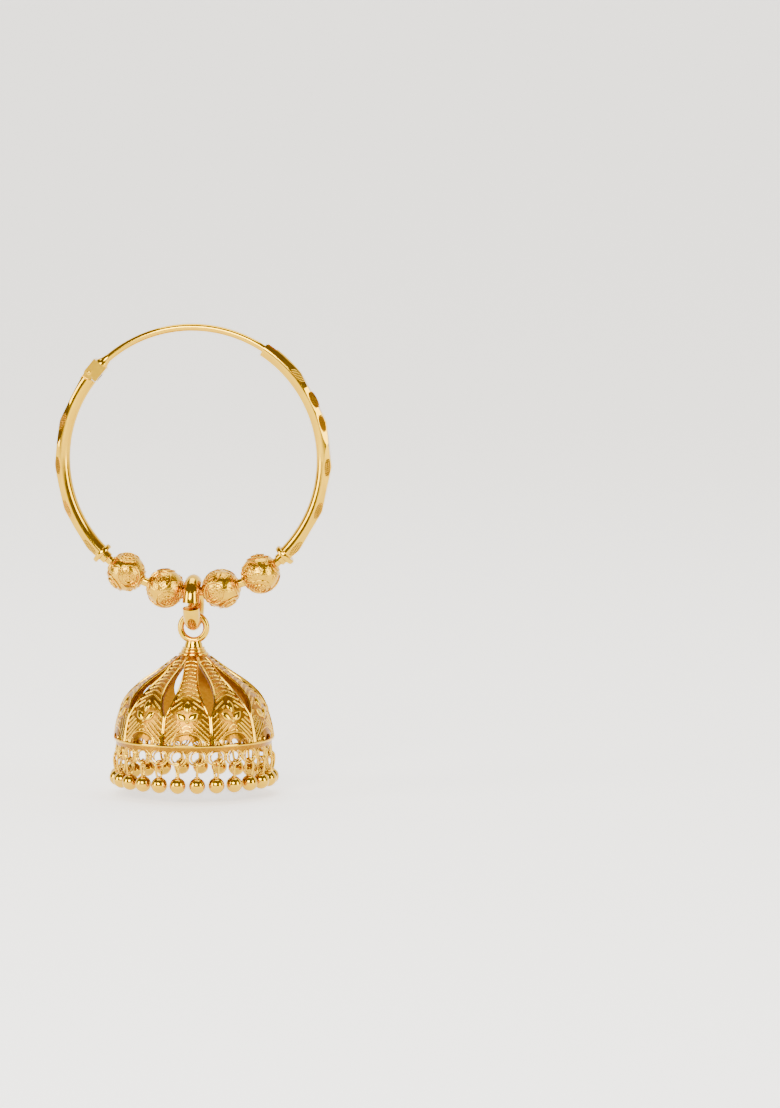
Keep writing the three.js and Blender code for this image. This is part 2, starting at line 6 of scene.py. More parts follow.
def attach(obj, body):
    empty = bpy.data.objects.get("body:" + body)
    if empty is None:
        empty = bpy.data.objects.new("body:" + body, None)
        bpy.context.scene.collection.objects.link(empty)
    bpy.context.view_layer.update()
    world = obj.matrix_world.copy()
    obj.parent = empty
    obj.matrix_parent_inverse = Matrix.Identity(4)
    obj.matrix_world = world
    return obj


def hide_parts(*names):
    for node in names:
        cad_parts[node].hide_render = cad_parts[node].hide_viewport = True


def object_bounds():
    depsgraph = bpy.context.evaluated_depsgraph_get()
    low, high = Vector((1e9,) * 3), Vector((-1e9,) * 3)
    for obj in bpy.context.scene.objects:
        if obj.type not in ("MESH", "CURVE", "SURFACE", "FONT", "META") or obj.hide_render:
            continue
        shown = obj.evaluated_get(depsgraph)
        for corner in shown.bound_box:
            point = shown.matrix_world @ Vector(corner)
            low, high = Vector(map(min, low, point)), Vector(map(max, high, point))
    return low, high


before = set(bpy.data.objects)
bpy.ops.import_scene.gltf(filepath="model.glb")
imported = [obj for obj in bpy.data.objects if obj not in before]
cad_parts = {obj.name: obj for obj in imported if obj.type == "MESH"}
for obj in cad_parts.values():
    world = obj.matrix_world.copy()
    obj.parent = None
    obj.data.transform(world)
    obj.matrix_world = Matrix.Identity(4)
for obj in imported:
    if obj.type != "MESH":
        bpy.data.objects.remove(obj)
cadLow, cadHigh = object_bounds()
mm = 0.001   # every piece is modelled in millimetres and made metres when it is finished


# small helpers

def clearSelection():
    bpy.ops.object.select_all(action='DESELECT')


def pick(piece):
    clearSelection()
    piece.select_set(True)
    bpy.context.view_layer.objects.active = piece


def addShape(name, operator, **settings):
    clearSelection()
    operator(**settings)
    piece = bpy.context.active_object
    piece.name = name
    bpy.ops.object.transform_apply(location=True, rotation=True, scale=True)
    return piece


def openMesh(piece):
    pick(piece)
    bpy.ops.object.mode_set(mode='EDIT')
    bpy.ops.mesh.select_all(action='SELECT')


def closeMesh():
    bpy.ops.object.mode_set(mode='OBJECT')


def selectNothing(piece):
    openMesh(piece)
    bpy.ops.mesh.select_all(action='DESELECT')
    closeMesh()


def capAndTidy(piece):
    openMesh(piece)
    bpy.ops.mesh.remove_doubles(threshold=0.0005)
    bpy.ops.mesh.fill_holes(sides=0)
    bpy.ops.mesh.normals_make_consistent(inside=False)
    closeMesh()


def applyModifier(piece, kind, **settings):
    pick(piece)
    modifier = piece.modifiers.new(kind.title(), kind)
    for key, value in settings.items():
        setattr(modifier, key, value)
    bpy.ops.object.modifier_apply(modifier=modifier.name)


def cutAway(piece, cutter):
    applyModifier(piece, 'BOOLEAN', operation='DIFFERENCE', object=cutter, solver='EXACT')
    bpy.data.objects.remove(cutter, do_unlink=True)


def joinAll(name, parts):
    clearSelection()
    for part in parts:
        part.select_set(True)
    bpy.context.view_layer.objects.active = parts[0]
    bpy.ops.object.join()
    parts[0].name = name
    return parts[0]


def copyOf(piece, name, matrix):
    twin = piece.copy()
    twin.data = piece.data.copy()
    twin.name = name
    bpy.context.scene.collection.objects.link(twin)
    twin.data.transform(matrix)
    return twin


def wire(name, points, thickness, closed=False, sides=3, smooth=4):
    # a bent wire: a smooth curve through the points, given a round section and made a mesh
    clearSelection()
    curve = bpy.data.curves.new(name, 'CURVE')
    curve.dimensions = '3D'
    curve.bevel_depth = thickness / 2
    curve.bevel_resolution = sides
    curve.resolution_u = smooth
    curve.use_fill_caps = True
    spline = curve.splines.new('BEZIER')
    spline.bezier_points.add(len(points) - 1)
    for place, point in zip(spline.bezier_points, points):
        place.co = point
        place.handle_left_type = place.handle_right_type = 'AUTO'
    spline.use_cyclic_u = closed
    piece = bpy.data.objects.new(name, curve)
    bpy.context.scene.collection.objects.link(piece)
    pick(piece)
    bpy.ops.object.convert(target='MESH')
    return bpy.context.active_object


def stackRings(name, rings, sides):
    # a turned shape round Z: a circle pulled from ring to ring, each ring (height, radius)
    height, radius = rings[0]
    piece = addShape(name, bpy.ops.mesh.primitive_circle_add,
                     vertices=sides, radius=radius, location=(0, 0, height))
    openMesh(piece)
    for nextHeight, nextRadius in rings[1:]:
        bpy.ops.mesh.extrude_region_move(
            TRANSFORM_OT_translate={'value': (0, 0, nextHeight - height)})
        growth = nextRadius / radius
        bpy.ops.transform.resize(value=(growth, growth, 1), center_override=(0, 0, nextHeight))
        height, radius = nextHeight, nextRadius
    closeMesh()
    capAndTidy(piece)
    return piece


def finishPiece(piece, material, body, nodes, angle=35):
    piece.data.transform(Matrix.Scale(mm, 4))
    piece.data.materials.clear()
    piece.data.materials.append(material)
    pick(piece)
    bpy.ops.object.shade_smooth_by_angle(angle=math.radians(angle), keep_sharp_edges=True)
    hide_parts(*nodes)
    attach(piece, body)


# materials

def linear(hexColour):
    channels = [int(hexColour[i:i + 2], 16) / 255 for i in (0, 2, 4)]
    return [c / 12.92 if c <= 0.04045 else ((c + 0.055) / 1.055) ** 2.4 for c in channels] + [1]


def addNode(tree, kind, links=(), **settings):
    # settings name sockets or properties, links are (socket of the new node, where it comes from)
    node = tree.nodes.new(kind)
    for key, value in settings.items():
        if key in node.inputs:
            node.inputs[key].default_value = value
        else:
            setattr(node, key, value)
    for socket, source in links:
        tree.links.new(source, node.inputs[socket])
    return node


def newMaterial(name, colour, roughness):
    material = bpy.data.materials.new(name)
    material.use_nodes = True
    tree = material.node_tree
    shader = tree.nodes['Principled BSDF']
    shader.inputs['Base Color'].default_value = linear(colour)
    shader.inputs['Metallic'].default_value = 1
    shader.inputs['Roughness'].default_value = roughness
    return material, tree, shader


def texture(tree, kind, size, **settings):
    # a noise or cell pattern fixed to the piece, with features of the given size in millimetres
    place = addNode(tree, 'ShaderNodeTexCoord').outputs['Object']
    return addNode(tree, kind, [('Vector', place)], Scale=1 / (size * mm), **settings)


def tint(tree, shader, share, first, second):
    tone = addNode(tree, 'ShaderNodeMix', [(0, share)], data_type='RGBA')
    tone.inputs[6].default_value = linear(first)
    tone.inputs[7].default_value = linear(second)
    tree.links.new(tone.outputs[2], shader.inputs['Base Color'])


def roughen(tree, shader, height, strength, depth):
    bump = addNode(tree, 'ShaderNodeBump', [('Height', height)], Strength=strength, Distance=depth * mm)
    tree.links.new(bump.outputs[0], shader.inputs['Normal'])


polished = {'colour': 'DDB11C', 'worn': 'D09E12', 'cloud': 2.4, 'roughness': 0.09, 'smoother': 0.04,
            'rougher': 0.09, 'mark': 0.5, 'strength': 0.1, 'depth': 0.02}


def polishedGoldPlate():
    # 22 carat yellow gold plate over brass, buffed: near mirror with soft uneven buffing marks
    material, tree, shader = newMaterial('polishedGoldPlate', polished['colour'], polished['roughness'])
    cloud = texture(tree, 'ShaderNodeTexNoise', polished['cloud'], Detail=2)
    tint(tree, shader, cloud.outputs['Fac'], polished['colour'], polished['worn'])
    marks = texture(tree, 'ShaderNodeTexNoise', polished['mark'], Detail=3)
    spread = addNode(tree, 'ShaderNodeMapRange', [('Value', marks.outputs['Fac'])])
    spread.inputs[3].default_value = polished['roughness'] - polished['smoother']
    spread.inputs[4].default_value = polished['roughness'] + polished['rougher']
    tree.links.new(spread.outputs[0], shader.inputs['Roughness'])
    roughen(tree, shader, marks.outputs['Fac'], polished['strength'], polished['depth'])
    return material


satin = {'colour': 'E2B422', 'deep': 'C08A0C', 'cloud': 1.1, 'roughness': 0.2, 'pit': 0.2,
         'strength': 0.45, 'depth': 0.05}


def satinGoldPlate():
    # frosted gold plate on the beads and the ridges: fine pits scatter the light into a soft sparkle
    material, tree, shader = newMaterial('satinGoldPlate', satin['colour'], satin['roughness'])
    pits = texture(tree, 'ShaderNodeTexVoronoi', satin['pit'])
    cloud = texture(tree, 'ShaderNodeTexNoise', satin['cloud'], Detail=3)
    tint(tree, shader, cloud.outputs['Fac'], satin['colour'], satin['deep'])
    roughen(tree, shader, pits.outputs['Distance'], satin['strength'], satin['depth'])
    return material


# the dark orange colours below are painted shade for recessed parts; the grain mixes the two at random
recessShade = {'colour': 'AC7809', 'darkerGrain': '804E05', 'roughness': 0.28, 'grain': 0.35,
           'strength': 0.5, 'depth': 0.08}


def recessShadeGoldPlate():
    # the panels under the fine wires and the band of the lace: finely grained, in a deeper orange that is
    # painted shade for these recessed parts and the inside of the bell
    material, tree, shader = newMaterial('recessShadeGoldPlate', recessShade['colour'], recessShade['roughness'])
    grain = texture(tree, 'ShaderNodeTexNoise', recessShade['grain'], Detail=4)
    tint(tree, shader, grain.outputs['Fac'], recessShade['colour'], recessShade['darkerGrain'])
    roughen(tree, shader, grain.outputs['Fac'], recessShade['strength'], recessShade['depth'])
    return material


# the dark colour below is painted shade for the lens cuts
hatchShade = {'colour': '6E4806', 'roughness': 0.5, 'scratch': 0.12, 'strength': 0.6, 'depth': 0.05}


def hatchShadeGoldPlate():
    # the beds of the lens cuts: their fine scratches are real bumps, but their dark colour is painted
    # shade that stands in for the dark reflection of the cuts
    material, tree, shader = newMaterial('hatchShadeGoldPlate', hatchShade['colour'], hatchShade['roughness'])
    scratches = texture(tree, 'ShaderNodeTexVoronoi', hatchShade['scratch'])
    roughen(tree, shader, scratches.outputs['Distance'], hatchShade['strength'], hatchShade['depth'])
    return material


polishedGold = polishedGoldPlate()
hatchShadeGold = hatchShadeGoldPlate()
satinGold = satinGoldPlate()
recessShadeGold = recessShadeGoldPlate()
print('materials ready')


# places on the hoop: angles are degrees from +X towards +Z, seen from the front

hoop = {'radius': 15.85, 'armDiameter': 1.86, 'collarAngle': 44.3, 'wireDiameter': 1.1,
        'lowestPeak': 40.1, 'facetPitch': 18.7, 'facetRows': 4, 'topPitch': 22.5,
        'peakInset': 0.02, 'sideDepth': 0.13, 'sideLean': 52, 'topLenses': (26.5, 38.5),
        'catchAngle': 57}
lens = {'length': 2.1, 'halfWidth': 0.42, 'crown': 0.03, 'halfStroke': 0.4, 'slant': 0.14,
        'strokeWire': 0.1}
hinge = {'angle': 140.3, 'pinOffset': 0.3, 'pinDiameter': 0.56, 'blockLength': 1.75, 'blockEdge': 0.24,
         'blockThickness': 1.8, 'innerDrop': 0.3, 'slot': 0.86, 'tongue': 0.5, 'gap': 0.18}
earWire = {'diameter': 0.88, 'insertion': 1.2, 'catchGap': 0.14}
hoopCentre = Vector((0, 0, -hoop['radius']))


def onHoop(angle, radius=hoop['radius']):
    # local x runs clockwise along the hoop, local z points outwards
    a = math.radians(angle)
    place = hoopCentre + Vector((math.cos(a), 0, math.sin(a))) * radius
    return Matrix.Translation(place) @ Matrix.Rotation(math.pi / 2 - a, 4, 'Y')


def atHingePin():
    return onHoop(hinge['angle'], hoop['radius'] + hinge['pinOffset'])


def bentRod(name, thickness, fromAngle, toAngle, sides):
    a = math.radians(fromAngle)
    place = hoopCentre + Vector((math.cos(a), 0, math.sin(a))) * hoop['radius']
    rod = addShape(name, bpy.ops.mesh.primitive_circle_add, vertices=sides, radius=thickness / 2,
                   location=place, rotation=(0, -a, 0))
    openMesh(rod)
    bpy.ops.mesh.spin(steps=round(abs(toAngle - fromAngle)), angle=math.radians(toAngle - fromAngle),
                      center=hoopCentre, axis=(0, 1, 0))
    closeMesh()
    capAndTidy(rod)
    return rod


def cutFlat(point, normal):
    bpy.ops.mesh.select_all(action='SELECT')
    bpy.ops.mesh.bisect(plane_co=point, plane_no=normal, use_fill=True, clear_outer=True)
    bpy.ops.mesh.mark_sharp()


cornerAngles = [row * hoop['facetPitch'] - hoop['lowestPeak'] for row in range(hoop['facetRows'])]


def lensAngles(mirrored):
    # one lens at each corner of both arms, and two more towards the catch
    return cornerAngles if mirrored else [*cornerAngles, *hoop['topLenses']]


def cutFacets(arm, mirrored):
    # the outer side is cut to flats that meet in corners, and lenses are cut at both sides of the arm
    radius = hoop['armDiameter'] / 2
    peakRadius = hoop['radius'] + radius - hoop['peakInset']
    openMesh(arm)

    def outward(angle):
        a = math.radians(180 - angle if mirrored else angle)
        return Vector((math.cos(a), 0, math.sin(a)))

    def outerFlat(middle, pitch):
        flatRadius = peakRadius * math.cos(math.radians(pitch / 2))
        cutFlat(hoopCentre + outward(middle) * flatRadius, outward(middle))

    for corner in cornerAngles:
        outerFlat(corner - hoop['facetPitch'] / 2, hoop['facetPitch'])
    outerFlat(cornerAngles[-1] + hoop['topPitch'] / 2, hoop['topPitch'])
    lean = math.radians(hoop['sideLean'])
    for angle in lensAngles(mirrored):
        for side in (-1, 1):
            normal = outward(angle) * math.cos(lean) + Vector((0, side * math.sin(lean), 0))
            middle = hoopCentre + outward(angle) * hoop['radius']
            cutFlat(middle + normal * (radius - hoop['sideDepth']), normal)
    closeMesh()


def hatchLenses(mirrored):
    # a thin bed, painted dark as shade, lies on every lens cut, with short crossing strokes on it
    beds, strokes = [], []
    radius = hoop['armDiameter'] / 2
    for angle in lensAngles(mirrored):
        seat = onHoop(180 - angle if mirrored else angle)
        for side in (-1, 1):
            lean = Matrix.Rotation(math.radians(side * hoop['sideLean']), 4, 'X')
            flat = seat @ lean @ Matrix.Translation((0, 0, radius - hoop['sideDepth']))
            bed = addShape('bed', bpy.ops.mesh.primitive_uv_sphere_add, segments=24, ring_count=8,
                           radius=1, scale=(lens['length'] / 2, lens['halfWidth'], lens['crown']))
            bed.data.transform(flat)
            beds.append(bed)
            for k in range(-4, 5):
                along = k * lens['length'] / 9.5
                half = lens['halfStroke'] * math.sqrt(1 - (k / 5) ** 2)
                for slant in (-lens['slant'], lens['slant']):
                    ends = [flat @ Vector((along - slant, -half, 0)),
                            flat @ Vector((along + slant, half, 0))]
                    strokes.append(wire('stroke', ends, lens['strokeWire'], sides=0, smooth=1))
    return beds, strokes


def blockAt(name, matrix, x, y, z):
    size = (x[1] - x[0], y[1] - y[0], z[1] - z[0])
    centre = ((x[0] + x[1]) / 2, (y[0] + y[1]) / 2, (z[0] + z[1]) / 2)
    block = addShape(name, bpy.ops.mesh.primitive_cube_add, size=1, location=centre, scale=size)
    block.data.transform(matrix)
    return block


def rodAt(name, matrix, radius, length, sides=32):
    # a rod along local y, across the hoop
    rod = addShape(name, bpy.ops.mesh.primitive_cylinder_add, vertices=sides, radius=radius,
                   depth=length, rotation=(math.pi / 2, 0, 0))
    rod.data.transform(matrix)
    return rod


def makeRightArm():
    low, high = hoop['collarAngle'] - 90, hoop['catchAngle']
    arm = bentRod('rightArm', hoop['armDiameter'], low, high, 48)
    cutFacets(arm, False)
    bore = earWire['diameter'] / 2 + earWire['catchGap']
    depth = earWire['insertion'] + earWire['catchGap']
    mouth = onHoop(high)
    hole = addShape('hole', bpy.ops.mesh.primitive_cylinder_add, vertices=32, radius=bore,
                    depth=2 * depth, rotation=(0, math.pi / 2, 0))
    hole.data.transform(mouth)
    cutAway(arm, hole)
    cutAway(arm, blockAt('notch', mouth, (-depth, depth), (-bore, bore), (0, hoop['armDiameter'])))
    return arm


def makeLeftArm():
    low = 270 - hoop['collarAngle']
    arm = bentRod('leftArm', hoop['armDiameter'], low, hinge['angle'], 48)
    cutFacets(arm, True)
    pin = atHingePin()
    outer = hoop['armDiameter'] / 2 - hinge['pinOffset']
    clear = outer + hinge['gap']
    reach = 3 * hoop['armDiameter']
    end = -hinge['innerDrop'] - hinge['gap']
    cutAway(arm, blockAt('endCut', pin, (end, reach), (-reach, reach), (-reach, reach)))
    cutAway(arm, rodAt('roundCut', pin, clear, reach, 48))
    cutAway(arm, blockAt('outerCut', pin, (-clear, 0), (-reach, reach), (0, reach)))
    tongue = rodAt('tongue', pin, outer - 0.05, hinge['tongue'], 40)
    root = blockAt('tongueRoot', pin, (-clear - 0.4, 0), (-hinge['tongue'] / 2, hinge['tongue'] / 2),
                   (-outer + 0.05, outer - 0.1))
    return joinAll('leftArm', [arm, tongue, root])


def makeCollar(angle, side):
    # a thin polished flange with a rounded edge, and the sleeve towards the beads
    rings = [(-0.3, 0.6), (-0.3, 1.22), (-0.23, 1.31), (-0.1, 1.35), (0.1, 1.35), (0.23, 1.31),
             (0.3, 1.22), (0.3, 0.76), (0.9, 0.75), (0.97, 0.7), (1.0, 0.56)]
    collar = stackRings('collar', rings, 40)
    collar.data.transform(onHoop(angle) @ Matrix.Rotation(side * math.pi / 2, 4, 'Y'))
    return collar


def makeHoop():
    rightCollar, leftCollar = hoop['collarAngle'] - 90, 270 - hoop['collarAngle']
    beadWire = bentRod('beadWire', hoop['wireDiameter'], leftCollar, 360 + rightCollar, 24)
    rightBeds, rightStrokes = hatchLenses(False)
    leftBeds, leftStrokes = hatchLenses(True)
    parts = [makeRightArm(), makeLeftArm(), beadWire, makeCollar(rightCollar, 1),
             makeCollar(leftCollar, -1), *rightStrokes, *leftStrokes]
    return joinAll('hoopMetal', parts), joinAll('lensShadeBeds', rightBeds + leftBeds)


hoopMetal, lensShadeBeds = makeHoop()
finishPiece(hoopMetal, polishedGold, 'hoop', ['hoop'], 20)
# the lens beds are painted dark as shade for the cuts
finishPiece(lensShadeBeds, hatchShadeGold, 'hoop', ['hoop'], 40)
print('hoop ready')


def makeEarWire():
    # a forked hinge block, a shoulder that tapers to the wire, and the wire over the top of the hoop
    outer = hoop['armDiameter'] / 2 - hinge['pinOffset']
    inner = -hoop['armDiameter'] / 2 - hinge['pinOffset']
    half = hinge['blockThickness'] / 2
    block = blockAt('block', Matrix(), (-hinge['innerDrop'], hinge['blockLength']), (-half, half),
                    (inner, outer))
    # the outer lower edge is taken back to the pin, and a round end is put there
    cutAway(block, blockAt('heel', Matrix(), (-1, 0), (-2, 2), (-outer, 2)))
    roundEnd = rodAt('roundEnd', Matrix(), outer, hinge['blockThickness'], 40)
    applyModifier(block, 'BOOLEAN', operation='UNION', object=roundEnd, solver='EXACT')
    bpy.data.objects.remove(roundEnd, do_unlink=True)
    slotHalf = hinge['slot'] / 2
    cutAway(block, blockAt('slot', Matrix(), (-3, outer + hinge['gap']), (-slotHalf, slotHalf), (-3, 3)))
    applyModifier(block, 'BEVEL', width=hinge['blockEdge'], segments=4, limit_method='ANGLE',
                  angle_limit=math.radians(40))
    block.data.transform(atHingePin())
    turn = math.degrees(1 / hoop['radius'])
    blockEnd = hinge['angle'] - hinge['blockLength'] * turn
    wireEnd = hoop['catchAngle'] - earWire['insertion'] * turn
    rod = bentRod('topWire', earWire['diameter'], wireEnd, blockEnd, 24)
    shoulder = stackRings('shoulder', [(-0.1, 0.78), (0.12, 0.76), (0.3, 0.66), (0.55, 0.56),
                                       (0.85, 0.49), (1.15, 0.445), (1.2, 0.42)], 32)
    shoulder.data.transform(onHoop(blockEnd) @ Matrix.Rotation(math.pi / 2, 4, 'Y'))
    return joinAll('earWireMetal', [block, rod, shoulder])


def makePin():
    # a rivet with slightly domed heads
    long = hinge['blockThickness'] / 2
    radius = hinge['pinDiameter'] / 2
    rings = [(-long - 0.07, radius * 0.55), (-long - 0.04, radius * 0.9), (-long, radius),
             (long, radius), (long + 0.04, radius * 0.9), (long + 0.07, radius * 0.55)]
    rivet = stackRings('rivet', rings, 32)
    rivet.data.transform(atHingePin() @ Matrix.Rotation(math.pi / 2, 4, 'X'))
    return rivet


finishPiece(makeEarWire(), polishedGold, 'wire', ['ear_wire'], 25)
finishPiece(makePin(), polishedGold, 'hoop', ['hinge_pin'], 40)
print('ear wire and hinge ready')


beads = {'diameter': 4.66, 'core': 4.54, 'angles': (-30.8, -12.3, 12.3, 30.8), 'firstTurn': 18,
         'turnStep': 40, 'roundels': 5, 'latitude': 20, 'outerRing': 2.62, 'outerWire': 0.2,
         'innerRing': 1.5, 'innerWire': 0.24, 'middleGrain': 0.34, 'curlWire': 0.18, 'curlLatitude': 40,
         'curlReach': 9, 'endWire': 0.22}


def onBead(longitude, latitude, lift=0):
    # local z points out of the bead; the thread runs along X
    turn = Matrix.Rotation(math.radians(longitude), 4, 'X')
    tilt = Matrix.Rotation(math.radians(-latitude), 4, 'Y')
    return turn @ tilt @ Matrix.Translation((0, 0, beads['diameter'] / 2 + lift))


def makeBead():
    # a smooth ball with ringed roundels full of grains, grains and curls between them
    ball = addShape('ball', bpy.ops.mesh.primitive_uv_sphere_add, segments=40, ring_count=24,
                    radius=beads['core'] / 2, rotation=(0, math.pi / 2, 0))
    parts = [ball]

    def ring(matrix, across, thickness, sides=24):
        band = addShape('ring', bpy.ops.mesh.primitive_torus_add, major_segments=sides,
                        minor_segments=8, major_radius=across / 2, minor_radius=thickness / 2)
        band.data.transform(matrix)
        parts.append(band)

    def granule(matrix, size):
        grain = addShape('grain', bpy.ops.mesh.primitive_ico_sphere_add, subdivisions=2, radius=size / 2)
        grain.data.transform(matrix)
        parts.append(grain)

    def grainRing(seat, count, reach, lift, size):
        for k in range(count):
            around = Matrix.Rotation(math.tau * k / count, 4, 'Z') @ Matrix.Translation((reach, 0, lift))
            granule(seat @ around, size)

    step = 360 / beads['roundels']
    bow = beads['curlReach']
    for i in range(beads['roundels']):
        side = 1 if i % 2 == 0 else -1
        seat = onBead(step * i, side * beads['latitude'])
        ring(seat @ Matrix.Translation((0, 0, -0.42)), beads['outerRing'], beads['outerWire'], 32)
        ring(seat @ Matrix.Translation((0, 0, -0.14)), beads['innerRing'], beads['innerWire'])
        granule(seat @ Matrix.Translation((0, 0, -0.04)), beads['middleGrain'])
        grainRing(seat, 7, 0.4, -0.07, 0.24)
        grainRing(seat, 9, 1.03, -0.3, 0.16)
        for latitude, size in ((-side * 42, 0.42), (-side * 58, 0.26)):
            granule(onBead(step * i, latitude, -0.12), size)
        curl = [onBead(step * i + bow * math.cos(t), -side * (beads['curlLatitude'] + bow * math.sin(t)),
                       -0.07).translation for t in (0.4, 1.2, 2.0, 2.8, 3.6, 4.4)]
        parts.append(wire('curl', curl, beads['curlWire'], sides=2, smooth=3))
    for side in (-1, 1):
        for out, across in ((2.12, 1.62), (1.9, 2.5)):
            end = Matrix.Translation((side * out, 0, 0)) @ Matrix.Rotation(math.pi / 2, 4, 'Y')
            ring(end, across, beads['endWire'])
    return joinAll('bead', parts)


firstBead = makeBead()
for i, aside in enumerate(beads['angles']):
    # each bead has turned a little further on its wire
    place = onHoop(-90 + aside) @ Matrix.Rotation(math.pi, 4, 'Y')
    seat = place @ Matrix.Rotation(math.radians(beads['firstTurn'] + beads['turnStep'] * i), 4, 'X')
    finishPiece(copyOf(firstBead, f'filigreeBead{i + 1}', seat), satinGold, 'hoop',
                [f'bead_{i + 1}'], 40)
bpy.data.objects.remove(firstBead, do_unlink=True)
print('beads ready')


link = {'width': 1.15, 'thickness': 0.58, 'depth': 4.6, 'height': 5.15, 'centre': -33.025,
        'seam': 15.6, 'seamTurn': 4.5}


def makeLink():
    # a band with an oval section, bent to an oval ring that is open at the front
    middle = link['depth'] / 2 - link['thickness'] / 2
    centre = Vector((0, 0, link['centre']))
    band = addShape('linkBand', bpy.ops.mesh.primitive_circle_add, vertices=28, radius=1,
                    location=(0, -middle, link['centre']),
                    scale=(link['width'] / 2, link['thickness'] / 2, 1))
    seamSide = Matrix.Rotation(math.radians(link['seamTurn'] + link['seam'] / 2), 4, 'X')
    band.data.transform(Matrix.Translation(centre) @ seamSide @ Matrix.Translation(-centre))
    openMesh(band)
    bpy.ops.mesh.spin(steps=72, angle=math.radians(360 - link['seam']), center=centre, axis=(-1, 0, 0))
    closeMesh()
    capAndTidy(band)
    stretch = (link['height'] - link['thickness']) / (2 * middle)
    band.data.transform(Matrix.Translation(centre) @ Matrix.Scale(stretch, 4, (0, 0, 1))
                        @ Matrix.Translation(-centre))
    return band


finishPiece(makeLink(), polishedGold, 'link', ['link'], 35)
print('link ready')


# the panels are modelled flat: x across a panel, y down its slope (negative), z out of it, and then
# wrapped round the bell; a share is a part of the dome's height, counted from its top

dome = {'top': -39.38, 'height': 9.9, 'radius': 9.5, 'wall': 0.45, 'panels': 10, 'bearing': 3.8,
        'slotTop': 0.08, 'slotBottom': 0.67, 'slotWidth': 1.6, 'edgeWire': 0.22, 'rimHeight': 0.6,
        'crown': 0.1, 'foot': 0.988,
        'outline': ((0, 0.18), (0.08, 0.29), (0.20, 0.46), (0.33, 0.66), (0.45, 0.80), (0.56, 0.88),
                    (0.67, 0.925), (0.84, 0.974), (1, 1))}
eye = {'level': -36.03, 'diameter': 3.9, 'wire': 0.8}


def domeRadiusAt(share):
    table = dome['outline']
    if share <= 0:
        return table[0][1] * dome['radius']
    if share >= 1:
        return dome['radius']
    last = len(table) - 1
    i = max(k for k in range(last) if table[k][0] <= share)

    def slopeAt(k):
        before, after = table[max(k - 1, 0)], table[min(k + 1, last)]
        return (after[1] - before[1]) / (after[0] - before[0])

    (d0, r0), (d1, r1) = table[i], table[i + 1]
    gap = d1 - d0
    t = (share - d0) / gap
    blend = ((2 * t ** 3 - 3 * t ** 2 + 1) * r0 + (t ** 3 - 2 * t ** 2 + t) * gap * slopeAt(i)
             + (3 * t ** 2 - 2 * t ** 3) * r1 + (t ** 3 - t ** 2) * gap * slopeAt(i + 1))
    return blend * dome['radius']


slopeSteps = 400
slopeTable = [(0.0, 0.0)]   # (length down the slope, share of the height)
for k in range(1, slopeSteps + 1):
    share = k / slopeSteps
    run = domeRadiusAt(share) - domeRadiusAt(share - 1 / slopeSteps)
    slopeTable.append((slopeTable[-1][0] + math.hypot(run, dome['height'] / slopeSteps), share))
slopeLength = slopeTable[-1][0]


def shareAt(down):
    # the share at a length down the slope; downAt goes the other way
    if down <= 0:
        return down / dome['height']
    if down >= slopeLength:
        return 1 + (down - slopeLength) / dome['height']
    low, high = 0, len(slopeTable) - 1
    while high - low > 1:
        middle = (low + high) // 2
        if slopeTable[middle][0] <= down:
            low = middle
        else:
            high = middle
    (a, shareA), (b, shareB) = slopeTable[low], slopeTable[high]
    return shareA + (shareB - shareA) * (down - a) / (b - a)


def downAt(share):
    return min(slopeTable, key=lambda row: abs(row[1] - share))[0]


def wrapOnDome(piece):
    for vertex in piece.data.vertices:
        x, y, lift = vertex.co
        share = shareAt(-y)
        radius = domeRadiusAt(share)
        slope = 0
        if share < 1.01:
            above, below = max(share - 0.02, 0), min(share + 0.02, 1)
            slope = math.atan2(domeRadiusAt(below) - domeRadiusAt(above), (below - above) * dome['height'])
        around = math.radians(dome['bearing']) + x / radius
        out = radius + lift * math.cos(slope)
        level = dome['top'] - share * dome['height'] + lift * math.sin(slope)
        vertex.co = (out * math.sin(around), -out * math.cos(around), level)


def slotWidthAt(share):
    t = (share - dome['slotTop']) / (dome['slotBottom'] - dome['slotTop'])
    if t <= 0 or t >= 1:
        return 0
    return dome['slotWidth'] * math.sin(math.pi * t)


def halfWidthAt(share):
    return math.pi * domeRadiusAt(share) / dome['panels'] - slotWidthAt(share) / 2


footLevel = -downAt(dome['foot'])
piercings = {'arch': 0.68, 'holes': ((1.12, 0.3), (1.78, 0.34), (2.36, 0.2)), 'rise': 0.75,
             'discWidth': 3.5, 'discHeight': 1.42, 'discRaise': 0.2, 'discLift': 0.04,
             'discPlay': 0.02, 'holePlay': 0.01}


def punchHole(piece, x, y, radius, sides=20):
    punch = addShape('punch', bpy.ops.mesh.primitive_cylinder_add, vertices=sides, radius=radius,
                     depth=3, location=(x, y, 0))
    cutAway(piece, punch)


def keepAbove(piece, level):
    openMesh(piece)
    bpy.ops.mesh.bisect(plane_co=(0, level, 0), plane_no=(0, -1, 0), use_fill=True, clear_outer=True)
    closeMesh()


def makeSheet():
    # one panel: a grid whose sides follow the slots, given its thickness and pierced along its foot
    sheet = addShape('sheet', bpy.ops.mesh.primitive_grid_add, x_subdivisions=16, y_subdivisions=56,
                     size=1)
    for vertex in sheet.data.vertices:
        share = 0.5 - vertex.co.y
        half = halfWidthAt(share)
        x = 2 * vertex.co.x * half
        crown = dome['crown'] * (1 - (x / max(half, 0.01)) ** 2)
        vertex.co = (x, -downAt(share), crown)
    applyModifier(sheet, 'SOLIDIFY', thickness=dome['wall'], offset=-1)
    arch = addShape('arch', bpy.ops.mesh.primitive_cylinder_add, vertices=28, depth=3,
                    radius=piercings['arch'], location=(0, footLevel, 0))
    keepAbove(arch, footLevel)
    cutAway(sheet, arch)
    for side in (-1, 1):
        for x, radius in piercings['holes']:
            punchHole(sheet, side * x, footLevel + radius * piercings['rise'], radius)
    return sheet


